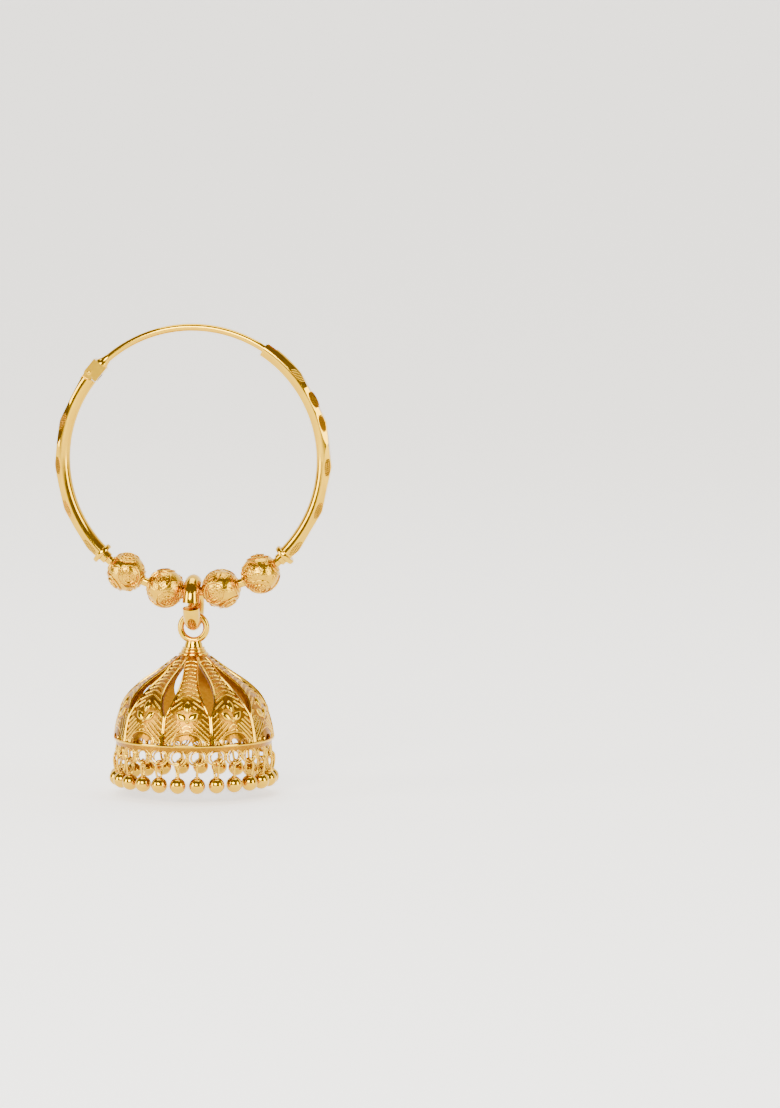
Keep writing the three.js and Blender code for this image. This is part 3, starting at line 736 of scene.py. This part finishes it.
def plainArch():
    # the smooth half disc above the middle piercing
    disc = addShape('plainArch', bpy.ops.mesh.primitive_uv_sphere_add, segments=32, ring_count=12,
                    radius=1, scale=(piercings['discWidth'] / 2, piercings['discHeight'],
                                     piercings['discRaise']))
    keepAbove(disc, 0)
    disc.data.transform(Matrix.Translation((0, footLevel, piercings['discLift'])))
    punchHole(disc, 0, footLevel, piercings['arch'] + piercings['discPlay'], 28)
    x, radius = piercings['holes'][0]
    for side in (-1, 1):
        punchHole(disc, side * x, footLevel + radius * piercings['rise'], radius + piercings['holePlay'])
    return disc


flower = {'level': 0.715, 'length': 1.62, 'width': 0.96, 'raise': 0.19, 'lean': 50, 'upright': 1.0,
          'aside': 0.1, 'heel': 0.22, 'lift': 0.12}


def makePetal():
    # a pointed leaf with a crown along its middle
    leaf = addShape('petal', bpy.ops.mesh.primitive_uv_sphere_add, segments=24, ring_count=12, radius=1)
    for vertex in leaf.data.vertices:
        x, y, z = vertex.co
        narrow = 1 - 0.6 * abs(y) ** 1.8
        vertex.co = (x * narrow * flower['width'] / 2, (y + 1) * flower['length'] / 2,
                     z * flower['raise'])
    return leaf


def makeOrnaments():
    # raised wires along both edges, three petals, and wires round the piercings
    parts = []
    inset = dome['edgeWire'] * 0.4
    shares = [0.02 + 0.965 * k / 26 for k in range(27)]
    for side in (-1, 1):
        edge = [(side * (halfWidthAt(s) - inset), -downAt(s), 0.12) for s in shares]
        parts.append(wire('edgeWire', edge, dome['edgeWire'], sides=2, smooth=2))
    heart = Matrix.Translation((0, -downAt(flower['level']), flower['lift']))
    for side in (-1, 0, 1):
        leaf = makePetal()
        base = flower['aside'] if side else flower['upright']
        leaf.data.transform(heart @ Matrix.Rotation(math.radians(side * flower['lean']), 4, 'Z')
                            @ Matrix.Translation((0, base, 0)))
        parts.append(leaf)
    heel = addShape('heel', bpy.ops.mesh.primitive_ico_sphere_add, subdivisions=2,
                    radius=flower['heel'])
    heel.data.transform(heart)
    parts.append(heel)
    for across, high, thickness in ((0.84, 0.84, 0.16), (1.875, 1.5, 0.14)):
        bow = [(across * math.cos(t), footLevel + high * math.sin(t), 0.1)
               for t in [math.pi * k / 12 for k in range(13)]]
        parts.append(wire('bow', bow, thickness, sides=2, smooth=2))
    for side in (-1, 1):
        for x, hole in piercings['holes']:
            radius = hole + 0.08
            loop = [(side * x + radius * math.cos(t),
                     footLevel + radius * piercings['rise'] + radius * math.sin(t), 0.07)
                    for t in [math.tau * k / 8 for k in range(8)]]
            parts.append(wire('loop', loop, 0.12, closed=True, sides=2, smooth=2))
    return joinAll('ornaments', parts)


ridges = {'pitch': 0.39, 'wire': 0.26, 'first': 0.9, 'lift': 0.05, 'bend': 0.3, 'shallow': 0.4,
          'steep': 1.0, 'turnStart': 4.5, 'turnEnd': 10.5, 'halfReach': 3.1, 'steps': 14, 'rise': 0.7,
          'edgeGap': 0.12, 'flowerGap': 0.06, 'archHalf': 1.8, 'archHeight': 1.5, 'spread': 0.35}


def nearPetal(x, up):
    # how far a place on the sheet is from the middle lines of the three petals
    distances = []
    for side in (-1, 0, 1):
        lean = math.radians(-side * flower['lean'])
        base = 0.25 if side else flower['upright'] + 0.2
        t = min(max(x * math.sin(lean) + up * math.cos(lean), base), base + flower['length'] - 0.4)
        distances.append(math.hypot(x - t * math.sin(lean), up - t * math.cos(lean)))
    return min(distances)


def makeRidges():
    # fine wires laid across the panel: bowed above the flower, a herringbone towards the foot
    parts = []
    foot = downAt(0.985)
    flowerLevel = downAt(flower['level'])

    def isFree(x, down):
        if not 0.3 < down < foot or abs(x) >= halfWidthAt(shareAt(down)) - ridges['edgeGap']:
            return False
        inFlower = nearPetal(x, flowerLevel - down) < flower['width'] / 2 + ridges['flowerGap']
        inArch = math.hypot(x / ridges['archHalf'], (down - foot) / ridges['archHeight']) < 1
        return not inFlower and not inArch

    def layWire(run):
        if len(run) > 2:
            parts.append(wire('ridge', run, ridges['wire'], sides=1, smooth=1))

    apex = ridges['first']
    while apex < foot + 2:
        turn = min(max((apex - ridges['turnStart']) / (ridges['turnEnd'] - ridges['turnStart']), 0), 1)
        lean = ridges['shallow'] + (ridges['steep'] - ridges['shallow']) * turn
        run = []
        for k in range(-ridges['steps'], ridges['steps'] + 1):
            x = k * ridges['halfReach'] / ridges['steps']
            down = apex - ridges['rise'] + lean * (math.hypot(x, ridges['bend']) - ridges['bend'])
            if isFree(x, down):
                run.append((x, -down, ridges['lift']))
            else:
                layWire(run)
                run = []
        layWire(run)
        # the pitch follows the slope, so that the wires lie evenly when seen from the side
        share = shareAt(min(apex, foot))
        fall = (shareAt(min(apex, foot) + 0.1) - share) * dome['height'] / 0.1
        apex += ridges['pitch'] * (1 + ridges['spread'] * turn) / min(max(fall, 0.5), 1)
    return joinAll('ridges', parts)


def aroundDome(flat, name):
    wrapOnDome(flat)
    turns = [copyOf(flat, name, Matrix.Rotation(math.tau * k / dome['panels'], 4, 'Z'))
             for k in range(1, dome['panels'])]
    return joinAll(name, [flat, *turns])


panels = aroundDome(joinAll('panel', [makeSheet(), plainArch()]), 'domePanels')
# the panels are painted darker orange as shade under the wires and inside the bell
finishPiece(panels, recessShadeGold, 'drop', ['dome'], 40)
print('panels ready')

fineWires = aroundDome(makeRidges(), 'ridgeWires')
finishPiece(fineWires, satinGold, 'drop', ['dome'], 60)
print('ridges ready')

trims = aroundDome(makeOrnaments(), 'domeTrim')
finishPiece(trims, polishedGold, 'drop', ['dome'], 40)
print('petals and wires ready')


lace = {'rings': 25, 'bearing': 11.2, 'radius': 9.25, 'halfHeight': 1.04, 'wire': 0.36,
        'seat': 0.25, 'contourWire': 0.23, 'outerShift': 0.07, 'innerShift': -0.14, 'stretch': 1.2,
        'plate': 0.62, 'plateThickness': 0.16, 'plateRise': 0.76, 'knot': 0.26}
domeBottom = dome['top'] - dome['height']
laceLevel = domeBottom - dome['rimHeight'] - lace['halfHeight'] + lace['seat']
laceFloor = laceLevel - lace['halfHeight'] + lace['wire'] / 2

# (height over the dome's top, radius), (height over its top, diameter, thickness) and
# (height over the dome's foot, growth past its radius)
neckOutline = ((-0.4, 1.4), (-0.1, 1.72), (0.1, 1.8), (0.26, 1.8), (0.4, 1.66), (0.44, 1.46),
               (0.72, 1.44), (0.8, 1.32), (1.0, 1.3), (1.06, 1.1), (1.4, 1.04), (1.75, 0.9))
neckRings = ((0.56, 2.8, 0.26), (0.92, 2.5, 0.24), (0.18, 3.38, 0.3))
rimOutline = ((0.16, 0.02), (0.1, 0.14), (-0.02, 0.17), (-0.14, 0.14), (-0.17, 0.03),
              (-0.17, -0.3), (0.1, -0.5))
bandOutline = ((-0.1, -0.12), (-dome['rimHeight'], -0.12), (-dome['rimHeight'], -0.42), (-0.1, -0.42))


def makeNeckAndRim():
    neck = stackRings('neck', [(dome['top'] + up, radius) for up, radius in neckOutline], 48)
    rings = [addShape('stepRing', bpy.ops.mesh.primitive_torus_add, major_segments=48,
                      minor_segments=10, major_radius=across / 2, minor_radius=thickness / 2,
                      location=(0, 0, dome['top'] + up)) for up, across, thickness in neckRings]
    eyeRing = addShape('eyeRing', bpy.ops.mesh.primitive_torus_add, major_segments=56,
                       minor_segments=20, major_radius=(eye['diameter'] - eye['wire']) / 2,
                       minor_radius=eye['wire'] / 2, location=(0, 0, eye['level']),
                       rotation=(math.pi / 2, 0, 0))
    return joinAll('neckAndRim', [neck, *rings, eyeRing, openRing('rim', rimOutline)])


def openRing(name, outline):
    # a turned ring at the dome's foot: the two caps come out and the open middle gets its wall
    rim = stackRings(name, [(domeBottom + up, dome['radius'] + out) for up, out in outline], 100)
    selectNothing(rim)
    for face in rim.data.polygons:
        face.select = len(face.vertices) > 4
    bpy.ops.object.mode_set(mode='EDIT')
    bpy.ops.mesh.select_mode(type='FACE')
    bpy.ops.mesh.delete(type='FACE')
    bpy.ops.mesh.select_mode(type='VERT')
    bpy.ops.mesh.select_non_manifold(extend=False)
    bpy.ops.mesh.bridge_edge_loops()
    bpy.ops.mesh.select_all(action='SELECT')
    bpy.ops.mesh.normals_make_consistent(inside=False)
    closeMesh()
    return rim


def makeLace():
    # two wires round each hole, the outer ones crossing like pointed arches; small plates fill the corners
    # under a band, both in a darker orange that is painted shade
    step = math.tau / lace['rings']
    parts, webs = [], []
    tall = lace['halfHeight'] - lace['wire'] / 2
    contours = [addShape('contour', bpy.ops.mesh.primitive_torus_add, major_segments=28,
                         minor_segments=8, major_radius=tall + shift,
                         minor_radius=lace['contourWire'] / 2, rotation=(math.pi / 2, 0, 0))
                for shift in (lace['outerShift'], lace['innerShift'])]
    contours[0].data.transform(Matrix.Scale(lace['stretch'], 4, (1, 0, 0)))
    ring = joinAll('laceRing', contours)
    plate = addShape('plate', bpy.ops.mesh.primitive_cylinder_add, vertices=3, radius=lace['plate'],
                     depth=lace['plateThickness'], rotation=(math.pi / 2, 0, 0))
    # the plate's corner has to point down
    if min(v.co.z for v in plate.data.vertices) > -0.8 * lace['plate']:
        plate.data.transform(Matrix.Rotation(math.pi, 4, 'Y'))
    knot = addShape('knot', bpy.ops.mesh.primitive_ico_sphere_add, subdivisions=2, radius=lace['knot'])
    hung = Matrix.Translation((0, -lace['radius'], laceLevel))
    raised = Matrix.Translation((0, -lace['radius'], laceLevel + lace['plateRise']))
    for i in range(lace['rings']):
        bearing = Matrix.Rotation(math.radians(lace['bearing']) + i * step, 4, 'Z')
        between = Matrix.Rotation(math.radians(lace['bearing']) + (i + 0.5) * step, 4, 'Z')
        parts.append(copyOf(ring, 'laceRing', bearing @ hung))
        webs.append(copyOf(plate, 'plate', between @ raised))
        parts.append(copyOf(knot, 'knot', between @ hung))
    for extra in (ring, plate, knot):
        bpy.data.objects.remove(extra, do_unlink=True)
    band = openRing('band', bandOutline)
    return joinAll('laceBand', parts), joinAll('laceWeb', [band, *webs])


finishPiece(makeNeckAndRim(), polishedGold, 'drop', ['dome'], 35)
laceBand, laceWeb = makeLace()
finishPiece(laceBand, polishedGold, 'drop', ['dome'], 45)
# the lace band and its plates are painted darker orange as shade behind the rings
finishPiece(laceWeb, recessShadeGold, 'drop', ['dome'], 35)
print('neck, rim and lace ready')


drops = {'wire': 0.3, 'halfWidth': 0.45, 'ball': 1.95, 'ballDrop': 2.47, 'cap': 0.5, 'capWire': 0.2,
         'greatestTurn': 30, 'turnStep': 2.4}


def makeDrop():
    # a hairpin of wire through the lace, a cap ring where its legs meet, and the ball
    w = drops['halfWidth']
    ballTop = drops['ball'] / 2 - drops['ballDrop']
    bend = w * math.sqrt(0.5)
    right = [(0, w), (bend, bend), (w, 0), (w * 0.9, (ballTop - w) / 2), (w * 0.35, ballTop - 0.25)]
    path = [(-y, z) for y, z in right[:0:-1]] + right
    hairpin = wire('hairpin', [(0, y, z) for y, z in path], drops['wire'], sides=3, smooth=4)
    ball = addShape('ball', bpy.ops.mesh.primitive_uv_sphere_add, segments=32, ring_count=20,
                    radius=drops['ball'] / 2, location=(0, 0, -drops['ballDrop']))
    cap = addShape('cap', bpy.ops.mesh.primitive_torus_add, major_segments=20, minor_segments=8,
                   major_radius=drops['cap'] / 2, minor_radius=drops['capWire'] / 2,
                   location=(0, 0, ballTop - 0.02))
    return joinAll('drop', [hairpin, ball, cap])


firstDrop = makeDrop()
for i in range(lace['rings']):
    bearing = math.radians(lace['bearing']) + math.tau * i / lace['rings']
    turned = bearing + math.radians(drops['greatestTurn'] * math.sin(drops['turnStep'] * i))
    hung = Matrix.Translation((lace['radius'] * math.sin(bearing), -lace['radius'] * math.cos(bearing),
                               laceFloor)) @ Matrix.Rotation(turned, 4, 'Z')
    finishPiece(copyOf(firstDrop, f'ballDrop{i + 1:02d}', hung), polishedGold, 'drop',
                [f'drop_{i + 1:02d}'], 45)
bpy.data.objects.remove(firstDrop, do_unlink=True)
print('fringe ready')


# studio, in metres: a pale floor that turns up behind, soft boxes and a warm surround

studio = {'surround': 'E8D2A8', 'surroundPower': 0.34, 'cameraAzimuth': 9, 'cameraElevation': 5,
          'distance': 0.6, 'frameHeight': 0.13296, 'aside': 0.0236, 'boxAim': (0, 0, -0.03)}
sheetOfPaper = {'level': -0.0562, 'size': 10, 'forward': 4.4, 'bendSteps': 10, 'bendStep': 0.06,
                'wall': 1.5, 'colour': 'F4F2EE', 'roughness': 0.9, 'fibres': 900, 'strength': 0.02,
                'glow': 1.35}
softBoxes = {'frontBox': {'place': (-0.05, -0.55, 0.22), 'width': 0.3, 'height': 0.24, 'power': 4.6},
             'leftBox': {'place': (-0.5, -0.3, 0.05), 'width': 0.24, 'height': 0.5, 'power': 4.2},
             'rightBox': {'place': (0.5, -0.25, 0.05), 'width': 0.2, 'height': 0.5, 'power': 3.2},
             'topBox': {'place': (0, 0.1, 0.55), 'width': 0.5, 'height': 0.35, 'power': 3}}


def makeFloor():
    # one sheet of paper: flat under the earring, then turned up behind it
    floor = addShape('floor', bpy.ops.mesh.primitive_plane_add, size=sheetOfPaper['size'],
                     location=(0, -sheetOfPaper['forward'], sheetOfPaper['level']))
    selectNothing(floor)
    for vertex in floor.data.vertices:
        vertex.select = vertex.co.y > 0
    bpy.ops.object.mode_set(mode='EDIT')
    bpy.ops.mesh.select_mode(type='VERT')
    for step in range(sheetOfPaper['bendSteps']):
        a = math.pi / 2 * (step + 0.5) / sheetOfPaper['bendSteps']
        bpy.ops.mesh.extrude_region_move(TRANSFORM_OT_translate={
            'value': (0, sheetOfPaper['bendStep'] * math.cos(a), sheetOfPaper['bendStep'] * math.sin(a))})
    bpy.ops.mesh.extrude_region_move(TRANSFORM_OT_translate={'value': (0, 0, sheetOfPaper['wall'])})
    closeMesh()
    paper, tree, shader = newMaterial('palePaper', sheetOfPaper['colour'], sheetOfPaper['roughness'])
    shader.inputs['Metallic'].default_value = 0
    fibre = addNode(tree, 'ShaderNodeTexNoise',
                    [('Vector', addNode(tree, 'ShaderNodeTexCoord').outputs['Object'])],
                    Scale=sheetOfPaper['fibres'])
    bump = addNode(tree, 'ShaderNodeBump', [('Height', fibre.outputs['Fac'])],
                   Strength=sheetOfPaper['strength'])
    tree.links.new(bump.outputs[0], shader.inputs['Normal'])
    shader.inputs['Emission Color'].default_value = linear(sheetOfPaper['colour'])
    shader.inputs['Emission Strength'].default_value = sheetOfPaper['glow']
    floor.data.materials.append(paper)
    pick(floor)
    bpy.ops.object.shade_smooth_by_angle(angle=math.radians(40))


def softBox(name, place, width, height, power):
    clearSelection()
    bpy.ops.object.light_add(type='AREA', location=place)
    lamp = bpy.context.active_object
    lamp.name = name
    lamp.data.shape = 'RECTANGLE'
    lamp.data.size, lamp.data.size_y = width, height
    lamp.data.energy = power
    aim = Vector(studio['boxAim']) - Vector(place)
    lamp.rotation_euler = aim.to_track_quat('-Z', 'Y').to_euler()


def makeCamera():
    a, e = math.radians(studio['cameraAzimuth']), math.radians(studio['cameraElevation'])
    back = Vector((math.sin(a) * math.cos(e), -math.cos(a) * math.cos(e), math.sin(e)))
    right = Vector((math.cos(a), math.sin(a), 0))
    centre = (cadLow + cadHigh) / 2
    centre.x = centre.y = 0
    bpy.ops.object.camera_add(location=centre + back * studio['distance'])
    camera = bpy.context.active_object
    camera.name = 'camera'
    aim = centre + right * studio['aside'] - camera.location
    camera.rotation_euler = aim.to_track_quat('-Z', 'Y').to_euler()
    camera.data.sensor_width = 36
    camera.data.lens = 36 * studio['distance'] / studio['frameHeight']
    bpy.context.scene.camera = camera


makeFloor()
world = bpy.data.worlds.new('studioAir')
bpy.context.scene.world = world
world.use_nodes = True
air = world.node_tree.nodes['Background']
air.inputs['Color'].default_value = linear(studio['surround'])
air.inputs['Strength'].default_value = studio['surroundPower']
for name, box in softBoxes.items():
    softBox(name, **box)
makeCamera()
print('studio ready')
